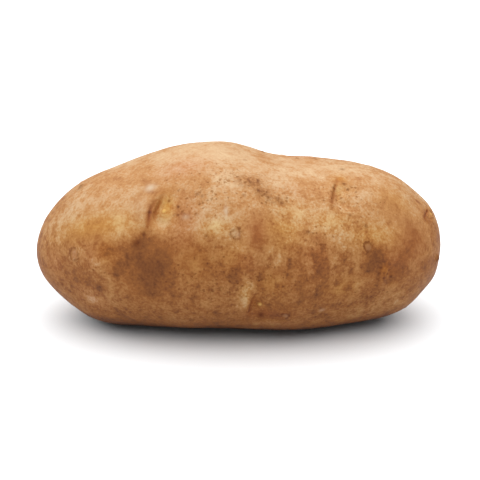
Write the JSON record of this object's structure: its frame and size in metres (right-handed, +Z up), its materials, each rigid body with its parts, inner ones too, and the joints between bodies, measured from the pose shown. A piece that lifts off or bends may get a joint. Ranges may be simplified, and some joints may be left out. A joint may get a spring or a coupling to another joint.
{
  "type": "potato",
  "caption": "Long brown baking potato with browed eyes and a slight waist, lying on a small flat spot.",
  "frame": {"origin": "on the surface that the potato lies on, under the middle of its box", "axes": "+X from the stem end to the bud end, +Z up, -Y the side with the large browed eye"},
  "size_m": [0.1352, 0.0694, 0.0606],
  "materials": {
    "skin": "matte tan skin with fine netting, corky specks and a faint waxy sheen"
  },
  "bodies": {
    "root": {"potato": "skin"}
  },
  "joints": []
}
